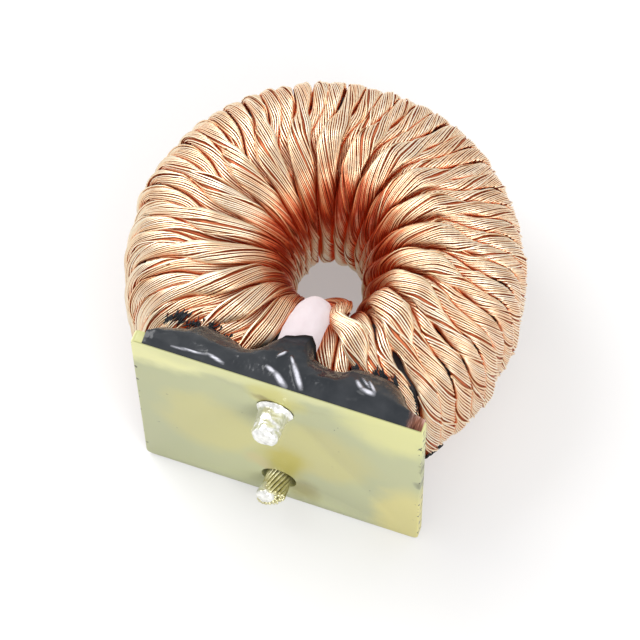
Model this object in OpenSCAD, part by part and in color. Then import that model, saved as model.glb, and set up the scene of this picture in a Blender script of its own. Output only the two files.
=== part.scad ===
// Toroidal power inductor: a powder ring core wound with three parallel bundles of
// enamelled strands, glued upright behind an insulating board that its two tinned
// leads pass through.
//
// Frame: +Z is the ring's axis and the core lies flat. The board faces -Y and the
// leads leave it along -Y. The origin is at the middle of the bounding box's bottom.

/* [Core] */
// Outside diameter of the coated ring core
core_od = 47.2; // [44:0.1:52]
// Bore diameter of the coated ring core
core_id = 23.6; // [23.2:0.1:25]
// Height of the coated ring core
core_h = 18.5; // [16:0.1:22]
// Radius that the coating gives the core's edges
core_edge_r = 2.2; // [1.2:0.1:2.6]

/* [Winding] */
// Turns that each of the three bundles makes round the core
turns = 19; // [15:1:19]
// Angle that the winding leaves free round the leads
free_angle = 35.1; // [34.6:0.1:50]
// Angle from the board's normal to the middle of the first turn
first_turn_angle = 30; // [29.5:0.1:31]
// Thickness of a bundle on the outside of the core
outer_t = 2.9; // [2.4:0.05:3.4]
// Thickness that a bundle loses on its way to the core's outer edges
outer_loss = 0.4; // [0:0.05:0.6]
// Thickness of a bundle where it turns over the core's outer edges
edge_t = 2; // [1.7:0.05:2.6]
// Thickness of the lower layer on the flat faces of the core
lower_t = 2.3; // [2:0.05:2.7]
// Thickness of the upper layer on the flat faces of the core
upper_t = 2.1; // [1.6:0.05:2.5]
// Thickness of the lower layer in the core's bore
bore_lower_t = 2.8; // [2.4:0.05:3]
// Thickness of the upper layer in the core's bore
bore_upper_t = 3.4; // [2.6:0.05:3.6]
// Gap between neighbouring bundles, and between them and the core
bundle_gap = 0.12; // [0.08:0.01:0.2]
// Drop from the core's rounded edge to the places where the bundles reach its bore
bore_drop = 2.4; // [1.8:0.1:3]

/* [Board] */
// Width of the board
board_w = 38.2; // [34:0.1:44]
// Height of the board
board_h = 34.6; // [33:0.1:40]
// Thickness of the board
board_t = 1.6; // [1:0.1:2.4]
// Radius of the board's corners
board_corner_r = 0.8; // [0.4:0.1:3]
// Offset of the board's middle from the ring's axis
board_x = 2.6; // [2:0.1:4]
// Gap between the core and the board
board_gap = 0.2; // [0.1:0.05:0.6]

/* [Leads] */
// Diameter of a lead's tinned end, outside the board
lead_d = 3.9; // [3.4:0.1:4]
// Diameter of a lead's strands in the board and in the sleeve
wire_d = 3.4; // [3.2:0.1:3.5]
// Height of the upper lead's axis above the core's upper face
lead_rise = 3.86; // [3.5:0.01:4.8]
// Height of the lower lead above the board's lower edge
lead_z = 5.6; // [5.4:0.05:5.8]
// Sideways place of both leads
lead_x = 2.4; // [2.3:0.05:2.6]
// Length of the upper lead outside the board
upper_lead_l = 4.5; // [3:0.1:8]
// Length of the lower lead outside the board
lower_lead_l = 3.8; // [2.5:0.1:4.4]
// Diameter of the holes in the board
hole_d = 4.8; // [4.3:0.1:5.2]

/* [Sleeve] */
// Outside diameter of the sleeve on the upper lead
sleeve_d = 4.9; // [4.6:0.1:5]
// Bore of the sleeve
sleeve_bore = 3.6; // [3.55:0.05:4]
// Clearance between the sleeve and what it passes
sleeve_gap = 0.15; // [0.1:0.05:0.3]
// Height of the sleeve's foot above the first places of the winding in the bore
foot_gap = 0.4; // [0.3:0.1:1]

/* [Glue] */
// How far the glue reaches back over the winding from the board
glue_reach = 7.2; // [6:0.1:8.5]
// How far the glue runs back on the sleeve from the board
glue_tongue = 8.4; // [6.5:0.1:10]
// Thickness of the glue on the board's upper edge
glue_cap_t = 0.4; // [0.2:0.1:1]
// Bare length of the board's upper edge at either end of the glue
glue_inset = 1.8; // [0.5:0.1:4]
// Height of the glue's underside above the board's lower edge
glue_foot = 2.2; // [1:0.1:4]
// Gap between the glue and the winding
glue_gap = 0.15; // [0.1:0.01:0.25]

/* [Hidden] */
$fn = 96;

ro = core_od / 2;
ri = core_id / 2;
hh = core_h / 2;
turn_pitch = (360 - free_angle) / turns;      // angle from one turn to the next
share = 1 / 3;                                // a bundle's share of that angle
over = 1;                                     // length by which a cut overruns a face

// Layers of the winding, as distances from the core's surface
skin = bundle_gap;
outer_top = skin + outer_t;
flank_top = outer_top - outer_loss;
edge_low = skin + core_edge_r / 4;
lower_top = skin + lower_t;
upper_low = lower_top + bundle_gap;
crown_top = upper_low + upper_t;
bore_split = skin + bore_lower_t;
bore_place_z = hh - core_edge_r - bore_drop;  // where the bundles reach the bore
bore_top = bore_split + bundle_gap + bore_upper_t;

// Places of the ring and of the board's two faces
winding_r = ro + outer_top;
face_in = ro + board_gap;                     // board's inner face, from the ring's axis
face_out = face_in + board_t;
ring_y = (face_out + upper_lead_l - winding_r) / 2;
ring_z = hh + crown_top;
upper_z = ring_z + hh + lead_rise;            // above the board's lower edge

// ---- Winding -------------------------------------------------------------

// Radii at which a bundle is drawn on the core's flat faces, from the outside in
edge_inset = 0.3;                             // beside the core's rounded edges
side_drop = 0.8;                              // below them, on the core's outside
flat_out = ro - core_edge_r - edge_inset;
flat_in = ri + core_edge_r + edge_inset;
flat_r = [for (t = [0, 0.35, 0.63, 1]) flat_out + t * (flat_in - flat_out)];

// One turn round the core's section. Each row holds a point on the core's surface,
// the direction of its normal, and the share of the turn's sideways advance made
// so far. The last entry is the kind of place, which the layers depend on.
function corner(r, a) = [r + core_edge_r * cos(a), hh - core_edge_r + core_edge_r * sin(a)];
function place(p, a, advance, kind) = [p[0], p[1], a, advance, kind];
top_half = [
    place([ro, hh - core_edge_r - side_drop], 0, 0, 1),
    place(corner(ro - core_edge_r, 45), 45, 0, 2),
    place([flat_r[0], hh], 90, 0.03, 3),
    place([flat_r[1], hh], 90, 0.12, 4),
    place([flat_r[2], hh], 90, 0.22, 5),
    place([flat_r[3], hh], 90, 0.38, 6),
    place(corner(ri + core_edge_r, 135), 135, 0.47, 7),
    place([ri, bore_place_z], 180, 0.5, 8)];
n_top = len(top_half);
turn_path = concat([place([ro, 0], 0, 0, 0)], top_half,
    [for (i = [n_top - 1:-1:0]) let (p = top_half[i])
        [p[0], -p[1], -p[2], 1 - p[3], p[4]]]);
n_path = len(turn_path);

// Lower and upper surface of a bundle at each kind of place: the third bundle
// climbs on to the other two on its way to the bore
low_of = [skin, skin, edge_low, skin, skin, skin, skin, edge_low, skin + bundle_gap];
high_of = [outer_top, flank_top, skin + edge_t, flank_top, lower_top, lower_top,
           lower_top, lower_top, bore_split];
low_of_third = [skin, skin, edge_low, skin, lower_top - 0.25, upper_low, upper_low,
                upper_low, bore_split + bundle_gap];
high_of_third = [outer_top, flank_top, skin + edge_t, flank_top + 0.1, crown_top - 0.7,
                 crown_top - 0.25, crown_top, crown_top, bore_top];

// Middle and width of each bundle at each kind of place, as shares of a turn's pitch
beside = [-share, 0, share];                  // side by side in one layer
below = [-1 / 4, 1 / 4, share];               // the third on top of the other two
mid_of = [beside, beside, beside, beside, beside, [-0.29, 0.12, share], below, below,
          below];
width_of = [[share, share], [share, share], [share, share], [share, share],
            [share, 0.31], [0.41, 0.62], [1 / 2, 0.72], [1 / 2, 0.8], [1 / 2, 0.94]];
face_share = 0.6;              // width of a bundle's flat faces, as a share of its own

// Surface distance that keeps a bundle clear of the board's inner face
function clear_of_board(p, angle, d) =
    cos(angle) < 0.5 || cos(p[2]) < 0.1 ? d
    : min(d, ((face_in - skin) / cos(max(0, abs(angle) - turn_pitch * share / 2)) - p[0])
             / cos(p[2]));

// The six corners of bundle k at one place of one turn
function section(k, turn, p) =
    let (kind = p[4],
         third = k == 2,
         angle = first_turn_angle + turn_pitch * (turn + p[3] + mid_of[kind][k]),
         folded = angle > 180 ? angle - 360 : angle,
         low = third ? low_of_third[kind] : low_of[kind],
         high = clear_of_board(p, folded, third ? high_of_third[kind] : high_of[kind]),
         width = width_of[kind][third ? 1 : 0],
         depths = [low, low, (low + high) / 2, high, high, (low + high) / 2],
         sides = [-face_share, face_share, 1, face_share, -face_share, -1])
    [for (i = [0:5])
        let (radius = p[0] + depths[i] * cos(p[2]),
             z = p[1] + depths[i] * sin(p[2]),
             half = (width * turn_pitch * radius * PI / 180 - bundle_gap) / 2,
             x = sides[i] * half)
        [x * cos(angle) + radius * sin(angle), x * sin(angle) - radius * cos(angle), z]];

// A closed skin round a chain of sections with the same number of corners
module swept(sections) {
    m = len(sections[0]);
    n = len(sections);
    points = [for (s = sections, p = s) p];
    sides = [for (i = [0:n - 2], j = [0:m - 1], half = [0, 1])
        let (a = i * m + j, b = i * m + (j + 1) % m)
        half == 0 ? [a, b, a + m] : [b, b + m, a + m]];
    ends = [[for (j = [m - 1:-1:0]) j], [for (j = [0:m - 1]) (n - 1) * m + j]];
    polyhedron(points, concat(sides, ends));
}

// One bundle from the foot of the sleeve in the bore, round the core, to the
// underside of the core beside the lower lead
module bundle(k) {
    start = n_top + 1;         // first place in the bore, below the sleeve
    finish = n_path - 3;       // last place under the core's outer edge
    steps = concat(
        [for (i = [start:n_path - 1]) [-1, turn_path[i]]],
        [for (t = [0:turns - 2], p = turn_path) [t, p]],
        [for (i = [0:finish]) [turns - 1, turn_path[i]]]);
    translate([0, ring_y, ring_z])
    swept([for (s = steps) section(k, s[0], s[1])]);
}

module bundle_1() { color("#d98a5f") bundle(0); }
module bundle_2() { color("#e09a70") bundle(1); }
module bundle_3() { color("#e6a67c") bundle(2); }

// ---- Core ----------------------------------------------------------------

// Section of the ring core with its coated, rounded edges
module core_section() {
    for (r = [ri + core_edge_r, ro - core_edge_r], s = [-1, 1])
        translate([r, s * (hh - core_edge_r)]) circle(core_edge_r, $fn = 32);
    translate([ri, -hh + core_edge_r]) square([ro - ri, core_h - 2 * core_edge_r]);
    translate([ri + core_edge_r, -hh]) square([ro - ri - 2 * core_edge_r, core_h]);
}

module core() {
    color("#26272b")
    translate([0, ring_y, ring_z])
    rotate_extrude() core_section();
}

// ---- Board ---------------------------------------------------------------

// A rod along -Y from y0 to y1, at height z on the leads' line
module lead_rod(d, y0, y1, z) {
    translate([lead_x, ring_y - y0, z])
    rotate([90, 0, 0]) cylinder(d = d, h = y1 - y0);
}

module board() {
    color("#d2d0a0")
    difference() {
        translate([board_x, ring_y - face_in, board_h / 2])
        rotate([90, 0, 0])
        linear_extrude(board_t) {
            square([board_w - 2 * board_corner_r, board_h], center = true);
            square([board_w, board_h - 2 * board_corner_r], center = true);
            for (sx = [-1, 1], sz = [-1, 1])
                translate([sx * (board_w / 2 - board_corner_r),
                           sz * (board_h / 2 - board_corner_r)])
                circle(board_corner_r, $fn = 32);
        }
        for (z = [lead_z, upper_z]) lead_rod(hole_d, face_in - over, face_out + over, z);
    }
}

// ---- Leads and sleeve ----------------------------------------------------

// The sleeve stands against the bore and starts to bend where the core's edge does
sleeve_y = -sqrt(pow(ri - sleeve_gap - sleeve_d / 2, 2) - pow(lead_x, 2));
bend_z = ring_z + hh - core_edge_r;
bend_r = upper_z - bend_z;
// Foot of the sleeve and of the lead inside it, just above the first turns
foot_z = ring_z - bore_place_z + foot_gap;

// A round section of diameter d, hollow where a bore is given
module ring_section(d, bore) {
    rotate(45)
    difference() {
        circle(d = d, $fn = 48);
        if (bore > 0) circle(d = bore, $fn = 48);
    }
}

// The path of the upper lead: up the bore, over the core's inner edge and out to y_end
module over_core(d, y_end, bore = 0) {
    translate([lead_x, ring_y + sleeve_y, foot_z])
    linear_extrude(bend_z - foot_z) ring_section(d, bore);
    translate([lead_x, ring_y + sleeve_y - bend_r, bend_z])
    rotate([90, 0, 90])
    rotate_extrude(angle = 90) translate([bend_r, 0]) ring_section(d, bore);
    translate([lead_x, ring_y + sleeve_y - bend_r, upper_z])
    rotate([90, 0, 0])
    linear_extrude(y_end + sleeve_y - bend_r) ring_section(d, bore);
}

module sleeve() {
    color("#efe2e2") over_core(sleeve_d, face_in, sleeve_bore);
}

// Both leads are stranded, and their strands end inside the tinned end
module upper_lead() {
    color("#dcdad2") {
        over_core(wire_d, face_out + upper_lead_l / 2);
        lead_rod(lead_d, face_out, face_out + upper_lead_l, upper_z);
    }
}

module lower_lead() {
    color("#c9bd83") {
        lead_rod(wire_d, face_in, face_out + lower_lead_l / 2, lead_z);
        lead_rod(lead_d, face_out, face_out + lower_lead_l, lead_z);
    }
}

// ---- Glue ----------------------------------------------------------------

// Section of the space that the winding fills, with the glue's gap round it
function skin_point(p) =
    let (d = high_of_third[p[4]] + glue_gap)
    [p[0] + d * cos(p[2]), p[1] + d * sin(p[2])];
module winding_section() {
    polygon([for (p = turn_path) skin_point(p)]);
}

// The part of the winding's space between two angles, above or below the core
module winding_sweep(from, to, side) {
    rotate([0, 0, from - 90])
    rotate_extrude(angle = to - from)
    intersection() {
        winding_section();
        translate([0, side > 0 ? 0 : -2 * ring_z]) square([2 * winding_r, 2 * ring_z]);
    }
}

// Outline of the glue on the winding, seen from above: a band on the board's edge with
// lobes behind it. Each lobe is its place across the board and its reach, as shares of
// the half width and of the glue's reach.
lobes = [[-0.78, 0.6], [-0.6, 0.86], [-0.46, 0.8], [-0.3, 0.64], [0.24, 0.84],
         [0.42, 0.92], [0.6, 1], [0.72, 0.86]];
lobe_r = 0.065 * board_w;
module bead_plan() {
    half_w = board_w / 2 - glue_inset;
    translate([-half_w, -face_out]) square([2 * half_w, board_t + 0.3 * glue_reach]);
    for (l = lobes) translate([l[0] * board_w / 2, -face_in]) {
        back = l[1] * glue_reach - lobe_r;
        translate([0, back]) circle(lobe_r, $fn = 48);
        translate([-lobe_r, 0]) square([2 * lobe_r, back]);
    }
}

// Outline of the tongue of glue that runs back along the sleeve
tongue_w = 1.15 * sleeve_d;
module tongue_plan() {
    back = glue_tongue - tongue_w / 2;
    translate([0, back - face_in]) circle(d = tongue_w, $fn = 48);
    translate([-tongue_w / 2, -face_out]) square([tongue_w, back + board_t]);
}

// The glue seen from the side: a rounded cap on the board's upper edge, which falls away
// behind it ever more steeply, to the height low at the distance reach from the board
module glue_side(reach, low) {
    top = board_h + glue_cap_t;
    round_l = board_t / 2;
    polygon(concat(
        [[0, glue_foot], [0, board_h]],
        [for (a = [0:15:90]) [round_l * (1 - cos(a)) - board_t, board_h + glue_cap_t * sin(a)]],
        [for (t = [0:0.125:1]) [t * reach, top - (top - low) * t * t]],
        [[reach, ring_z], [0.3 * reach, glue_foot]]));
}

// The glue seen from above and from the side, joined into one bead
module glue_bead(reach, low) {
    intersection() {
        linear_extrude(board_h + glue_cap_t) children();
        translate([-board_w, -face_in, 0])
        rotate([90, 0, 90]) linear_extrude(2 * board_w) glue_side(reach, low);
    }
}

// Angle by which the winding's space in the glue runs past its first and last turn
spare_angle = 1;
module glue() {
    color("#3b3e43")
    difference() {
        union() {
            translate([board_x, ring_y, 0])
            glue_bead(glue_reach, ring_z + hh + crown_top - lower_t) bead_plan();
            translate([lead_x, ring_y, 0])
            glue_bead(glue_tongue, upper_z + sleeve_d / 2) tongue_plan();
        }
        translate([0, ring_y, ring_z]) {
            winding_sweep(first_turn_angle - turn_pitch / 2 - spare_angle,
                          first_turn_angle + turn_pitch * (turns + 0.12) + spare_angle, 1);
            winding_sweep(first_turn_angle - turn_pitch - spare_angle,
                          first_turn_angle + turn_pitch * (turns + 0.5) + spare_angle, -1);
            cylinder(r = ro + glue_gap / 2, h = core_h + glue_gap, center = true);
        }
        over_core(sleeve_d + glue_gap, face_in + over);
        lead_rod(wire_d + glue_gap, face_in - wire_d, face_in + over, lead_z);
    }
}

core();
bundle_1();
bundle_2();
bundle_3();
board();
sleeve();
upper_lead();
lower_lead();
glue();
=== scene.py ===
# %% [markdown]
# # A toroidal choke on a header board
# The object is a power choke: a ring core wound with three twisted bundles of bare-looking
# copper wire, glued to a small board through which its two tinned leads come out.
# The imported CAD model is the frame. Every piece made here stays inside it and rides on it.
# Lengths are in millimetres from the ring's middle until Blender needs them in metres.

# %% Load the frame
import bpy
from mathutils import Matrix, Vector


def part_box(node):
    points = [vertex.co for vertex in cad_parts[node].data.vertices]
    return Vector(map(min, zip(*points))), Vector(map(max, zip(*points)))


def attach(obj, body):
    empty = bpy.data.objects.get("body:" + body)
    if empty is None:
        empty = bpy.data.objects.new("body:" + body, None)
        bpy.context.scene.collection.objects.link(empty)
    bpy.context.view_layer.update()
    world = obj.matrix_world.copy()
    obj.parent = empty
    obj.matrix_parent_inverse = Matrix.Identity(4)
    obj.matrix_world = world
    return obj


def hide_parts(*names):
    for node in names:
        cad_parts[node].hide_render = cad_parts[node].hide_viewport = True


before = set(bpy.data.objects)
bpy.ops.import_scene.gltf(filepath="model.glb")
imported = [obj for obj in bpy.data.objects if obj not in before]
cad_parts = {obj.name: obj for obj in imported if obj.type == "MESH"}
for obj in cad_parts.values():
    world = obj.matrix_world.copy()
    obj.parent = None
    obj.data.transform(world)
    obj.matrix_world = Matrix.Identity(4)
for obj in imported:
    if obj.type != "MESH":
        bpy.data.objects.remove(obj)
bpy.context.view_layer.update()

import contextlib
import math
import bpy
import bmesh
import numpy as np
from mathutils import Matrix, Vector, noise as smooth_noise

MM = 0.001
core_low, core_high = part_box("core")
RING = (core_low + core_high) / 2
print("middle of the ring", [round(c / MM, 3) for c in RING])


def at(x, y, z):
    """A point in mm from the ring's middle, in the frame's metres."""
    return Vector((RING.x + x * MM, RING.y + y * MM, RING.z + z * MM))


def new_object(name, data):
    piece = bpy.data.objects.new(name, data)
    bpy.context.scene.collection.objects.link(piece)
    return piece


def polar(degrees):
    """Cosine and sine."""
    return math.cos(math.radians(degrees)), math.sin(math.radians(degrees))


# %% [markdown]
# ## Camera
# A close view of a small part is taken from well back with a long lens, which keeps the
# ring's ellipse nearly free of perspective. It is turned about the point that it looks at.

# %% Camera
AZIMUTH, ELEVATION, ROLL = (math.radians(a) for a in (20.6264, 64, -1.2717))
DISTANCE, TARGET = 409.3553, (1.2389, -5.6918, 0)
FOCAL_PX, PICTURE_PX, SENSOR = 3115.47, 640, 36

camera_data = bpy.data.cameras.new("Camera")
camera_data.sensor_fit = "HORIZONTAL"
camera_data.sensor_width = SENSOR
camera_data.lens = SENSOR * FOCAL_PX / PICTURE_PX
camera_data.clip_start, camera_data.clip_end = 0.01, 10
camera = new_object("Camera", camera_data)
camera.matrix_world = (
    Matrix.Translation(at(*TARGET)) @ Matrix.Rotation(AZIMUTH, 4, "Z")
    @ Matrix.Rotation(math.pi / 2 - ELEVATION, 4, "X") @ Matrix.Rotation(ROLL, 4, "Z")
    @ Matrix.Translation((0, 0, DISTANCE * MM)))
bpy.context.scene.camera = camera
print("lens", round(camera_data.lens, 2), "mm")


# %% [markdown]
# ## The winding: how one turn runs
# Three bundles are wound side by side. On the outside of the ring they share one layer. On
# the flat faces the third climbs on to the other two, because the bore has less room. A
# bevelled curve could draw one bundle, but three have to fill their room without gaps, so
# one turn is written down as places round the core's section.

# %% Places of one turn
RO, RI, HALF, EDGE = 23.6, 11.8, 9.25, 2.2       # radii, half height and rounding of the core
TURNS, FIRST = 19, math.radians(30)
PITCH = math.radians((360 - 35.1) / TURNS)


def rounded(r, degrees):
    """A place on the core's rounded edge, whose middle has radius r."""
    c, s = polar(degrees)
    return r + EDGE * c, HALF - EDGE + EDGE * s


# ((radius, height), direction in degrees, share of the advance, place's number)
top_half = [((RO, HALF - EDGE - 0.8), 0, 0, 1), (rounded(RO - EDGE, 45), 45, 0, 2),
            ((21.1, HALF), 90, 0.03, 3), ((18.72, HALF), 90, 0.12, 4),
            ((16.82, HALF), 90, 0.22, 5), ((14.3, HALF), 90, 0.38, 6),
            (rounded(RI + EDGE, 135), 135, 0.47, 7), ((RI, 4.65), 180, 0.5, 8)]
turn_places = ([((RO, 0), 0, 0, 0)] + top_half
               + [((p[0], -p[1]), -a, 1 - adv, number) for p, a, adv, number in top_half[::-1]])
# by the place's number, for the two lower bundles and the third: heights over the core, then
# each bundle's middle and width in pitches
low_of = ((.12, .12, .67, .12, .12, .12, .12, .67, .24),
          (.12, .12, .67, .12, .3, 1.4, 2.4, 2.54, 3.04))
high_of = ((3.02, 2.62, 2.12, 2.62, 3, 3.2, 2.9, 2.42, 2.92),
           (3.02, 2.62, 2.12, 2.72, 3.5, 4.1, 4.64, 4.64, 6.44))
beside, below = (-1 / 3, 0, 1 / 3), (-1 / 4, 1 / 4, 1 / 3)
middle_of = [beside] * 5 + [(-0.29, 0.12, 1 / 3)] + [below] * 3
width_of = [(1 / 3, 1 / 3)] * 4 + [(1 / 3, .34), (.41, .62), (.5, .76), (.5, .9), (.5, .97)]


def turn_table(k, steps=600):
    """Bundle k along one turn: (length of the turn, lengths at the places, lengths, rows).
    A row holds the inner point (r, z), the outer point (r, z), the share of a turn made and
    the bundle's width as a share of the pitch."""
    rows = []
    for (r, z), degrees, advance, number in turn_places:
        c, s = polar(degrees)
        low, high = low_of[k == 2][number], high_of[k == 2][number]
        rows.append((r + low * c, z + low * s, r + high * c, z + high * s,
                     advance + middle_of[number][k], width_of[number][k == 2]))
    rows = np.array(rows)
    next_turn = np.array([0, 0, 0, 0, 1, 0])
    ring = np.vstack([rows[-2:] - next_turn, rows, rows[:3] + next_turn])
    centre = (ring[:, :2] + ring[:, 2:4]) / 2
    knots = np.concatenate([[0], np.cumsum(np.linalg.norm(np.diff(centre, axis=0), axis=1))])
    knots -= knots[2]
    length = knots[2 + len(rows)]
    # a smooth cubic through the places
    slopes = (ring[2:] - ring[:-2]) / (knots[2:] - knots[:-2])[:, None]
    t = np.linspace(0, length, steps + 1)
    i = np.clip(np.searchsorted(knots, t, side="right") - 1, 2, len(knots) - 4)
    h = (knots[i + 1] - knots[i])[:, None]
    u = (t - knots[i])[:, None] / h
    rows_at = ((2 * u**3 - 3 * u**2 + 1) * ring[i] + (u**3 - 2 * u**2 + u) * h * slopes[i - 1]
               + (3 * u**2 - 2 * u**3) * ring[i + 1] + (u**3 - u**2) * h * slopes[i])
    return length, knots[2:3 + len(rows)], t, rows_at


tables = [turn_table(k) for k in range(3)]
print("length of one turn in mm", [round(t[0], 1) for t in tables])


# %% [markdown]
# ## The winding: a bundle's course
# Wound by hand, the bundles are looser on one side of the ring than on the other, wander a
# little and lean towards the sleeve, where the winding begins. A random walk would jump from
# step to step, so a few sine waves of random length are added up instead.

# %% Where a bundle lies
WIRE, WIRES = 0.36, (22, 22, 27)      # size of a wire, and how many a bundle shows
# How far the first turns lean towards the sleeve on the inner side of the ring, in degrees
LEAN = ((25, 44, 52, 61, 78, 95), (12, 8.8, 8.6, 4, 1, 0))         # the two lower bundles
LEAN_THIRD = ((25, 44, 61, 78), (8.3, 8.3, 1, 0))
# How far the third bundle stands back from its place in the bore, in mm, by the angle
STAND_BACK = ((40, 46, 60, 78, 95, 210, 240, 300, 325),
              (0, 1.2, 1.9, 1, 0, 0, -1.4, -1.2, 0))


def leaned(angle, share, lean):
    """Angles moved towards the sleeve by a share of the lean, and how much wider they lie."""
    def move(a):
        return a - np.radians(np.interp(np.degrees(a), *lean)) * share
    step = math.radians(4)
    return move(angle), (move(angle + step) - move(angle - step)) / (2 * step)


def leftness(angle):
    """From 0 on the ring's right side, where it's wound tight, to 1 on its left."""
    return 0.5 - 0.5 * np.cos(angle - math.radians(120))


def wander(rng, s, waves, amount):
    """A smooth random curve along the length s, with wavelengths in mm."""
    low, high = waves
    total = np.zeros_like(s)
    for _ in range(7):
        total += np.sin(2 * np.pi * (s / rng.uniform(low, high) + rng.uniform()))
    return amount * total / math.sqrt(7)


def bundle_course(k, s, rng):
    """Bundle k at lengths s: its rows, angle round the ring, squareness and sag."""
    length, _, t, rows = tables[k]
    turn = np.floor(s / length)
    row = np.column_stack([np.interp(s - turn * length, t, column) for column in rows.T])
    angle = FIRST + PITCH * (turn + row[:, 4]) + wander(rng, s, (25, 80), 0.008)
    # round on the outside, square on top, round again where the third bundle is uppermost
    middle = (row[:, 0] + row[:, 2]) / 2
    near, far = np.clip((19.5 - middle) / 5, 0, 1), np.clip((middle - 22) / 2, 0, 1)
    square = 3.5 - (1.1 if k == 2 else 0.4) * near - (0.7 + 0.5 * leftness(angle)) * far
    sag = np.maximum(0, wander(rng, s, (14, 60), 0.12) + wander(rng, s, (60, 150), 0.2)
                     + wander(rng, s, (50, 90), 0.3) * far)
    angle, wider = leaned(angle, np.interp(middle, (15, 19, 23), (1, 0.55, 0.25)),
                          LEAN_THIRD if k == 2 else LEAN)
    row[:, 5] *= wider
    if k == 2:
        in_bore = np.interp(middle, (8.5, 11), (1, 0))
        stands_back = np.interp(np.degrees(angle), *STAND_BACK) * in_bore
        row[:, 0] += np.maximum(0, stands_back - 1)
        row[:, 2] += stands_back
        # the first end narrows at the bore's arris and swells in the bore, beside the sleeve
        first = np.clip(np.minimum(s - 0.2 * length, 0.62 * length - s) / 3, 0, 1)
        swell = first * np.interp(middle, (8.2, 10), (1, 0))
        waist = first * np.exp(-((middle - 11.3) / 1.6)**2)
        angle -= np.radians(9 * swell + 9 * waist)
        row[:, 5] *= 1 + 0.6 * swell - 0.35 * waist
    return row, angle, square, sag


# %% [markdown]
# ## The winding: a bundle's section
# A bundle's section is a rounded box that fills its share of the room, so that neighbours
# press flat on one another. Its wires lie round that section and turn slowly about its
# middle, as in a rope. The way round the box is measured, so that it can be shared out.

# %% A bundle's section
FACE_IN, WALL_R, PLANE_Z = 23.8, 26.58, 13.87    # the room: board's face, round wall and planes


def unit(vectors):
    return vectors / np.linalg.norm(vectors, axis=-1, keepdims=True)


def unit_section(square, phase):
    """A rounded square of half width 1 at a phase round it, and its outward direction."""
    c, s, power = np.cos(phase), np.sin(phase), 2 / square
    return (np.sign(c) * np.abs(c)**power, np.sign(s) * np.abs(s)**power,
            np.sign(c) * np.abs(c)**(2 - power), np.sign(s) * np.abs(s)**(2 - power))


def sizes(row):
    """Depth and width of the bundle at each row."""
    return (np.linalg.norm(row[:, 2:4] - row[:, :2], axis=1),
            row[:, 5] * PITCH * (row[:, 0] + row[:, 2]) / 2)


def phases(row, square, shares):
    """Phases at shares of the way round each section, and the length of that way."""
    knots = np.linspace(-np.pi, np.pi, 97)
    u, v, _, _ = unit_section(square[:, None], knots[None, :])
    half_depth, half_width = ((size - WIRE) / 2 for size in sizes(row))
    step = np.hypot(np.diff(u * half_width[:, None], axis=1),
                    np.diff(v * half_depth[:, None], axis=1))
    total = np.concatenate([np.zeros((len(row), 1)), np.cumsum(step, axis=1)], axis=1)
    length = total[:, -1:]
    phase = [np.interp(shares[i] % 1, total[i] / length[i], knots) for i in range(len(row))]
    return np.array(phase), length[:, 0]


def points_on(row, angle, square, sag, phase, inset):
    """Points of a bundle's surface at a phase round its section, with outward directions."""
    inner, outer = row[:, :2], row[:, 2:4]
    middle, half_depth, away = (inner + outer) / 2, sizes(row)[0] / 2, unit(outer - inner)
    u, v, nu, nv = unit_section(square, phase)
    depth = v * (half_depth - inset) - sag * (v > 0) * v
    radius = middle[:, 0] + away[:, 0] * depth
    z = middle[:, 1] + away[:, 1] * depth
    half_width = (row[:, 5] * PITCH * radius) / 2 - inset
    out = np.column_stack([np.sin(angle), -np.cos(angle)])
    along = np.column_stack([np.cos(angle), np.sin(angle)])
    xy = out * radius[:, None] + along * (u * half_width)[:, None]
    nu, nv = nu / np.maximum(half_width, 0.3), nv / half_depth
    normal = np.column_stack([along * nu[:, None] + out * (nv * away[:, 0])[:, None],
                              nv * away[:, 1]])
    return np.column_stack([xy, z]), unit(normal), v


def keep_in(point):
    """Keeps points clear of the board's inner face, the wall and the planes."""
    point[:, 1] = np.maximum(point[:, 1], -FACE_IN + 0.05)
    point[:, 2] = np.clip(point[:, 2], -PLANE_Z, PLANE_Z)
    radius = np.hypot(point[:, 0], point[:, 1])
    point[:, :2] *= np.minimum(1, WALL_R / radius)[:, None]
    return point


# %% [markdown]
# ## The winding: its wires
# Every wire is real geometry, because a bump map would leave a smooth outline. What faces
# inwards can't be seen, so a wire is made only where it faces outwards, as a closed run,
# and a heart in darker copper, painted shade, fills the middle.

# %% Meshes from rings of points
def tube_faces(rings, sides, base=0):
    """Faces of a closed tube through rings of points, numbered from base."""
    i = np.arange(rings - 1)[:, None] * sides + base
    m = np.arange(sides)[None, :]
    n = (m + 1) % sides
    quads = np.stack([i + m, i + n, i + sides + n, i + sides + m], axis=-1)
    first, last = base, base + (rings - 1) * sides
    return (quads.reshape(-1, 4).tolist() + [[first + q for q in range(sides)][::-1]]
            + [[last + q for q in range(sides)]])


def mesh_piece(name, points, faces, **marks):
    """A smooth mesh object from points in mm from the ring's middle, with marks for finishes."""
    mesh = bpy.data.meshes.new(name)
    mesh.from_pydata((points * MM + np.array(RING)).tolist(), [], faces)
    mesh.validate()
    mesh.shade_smooth()
    for mark, values in marks.items():
        values = np.tile(values, len(points) // len(values)).astype(np.float32)
        mesh.attributes.new(mark, "FLOAT", "POINT").data.foreach_set("value", values)
    return new_object(name, mesh)


# %% Wires of a bundle
PROFILE = [(-0.54, -0.3), (0, 0.5), (0.54, -0.3)]
CREST = [0, 1, 0]                # 1 along the top of a wire, 0 in the groove beside it
STRAY = 11                       # one wire in so many stands out of its bundle


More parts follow.
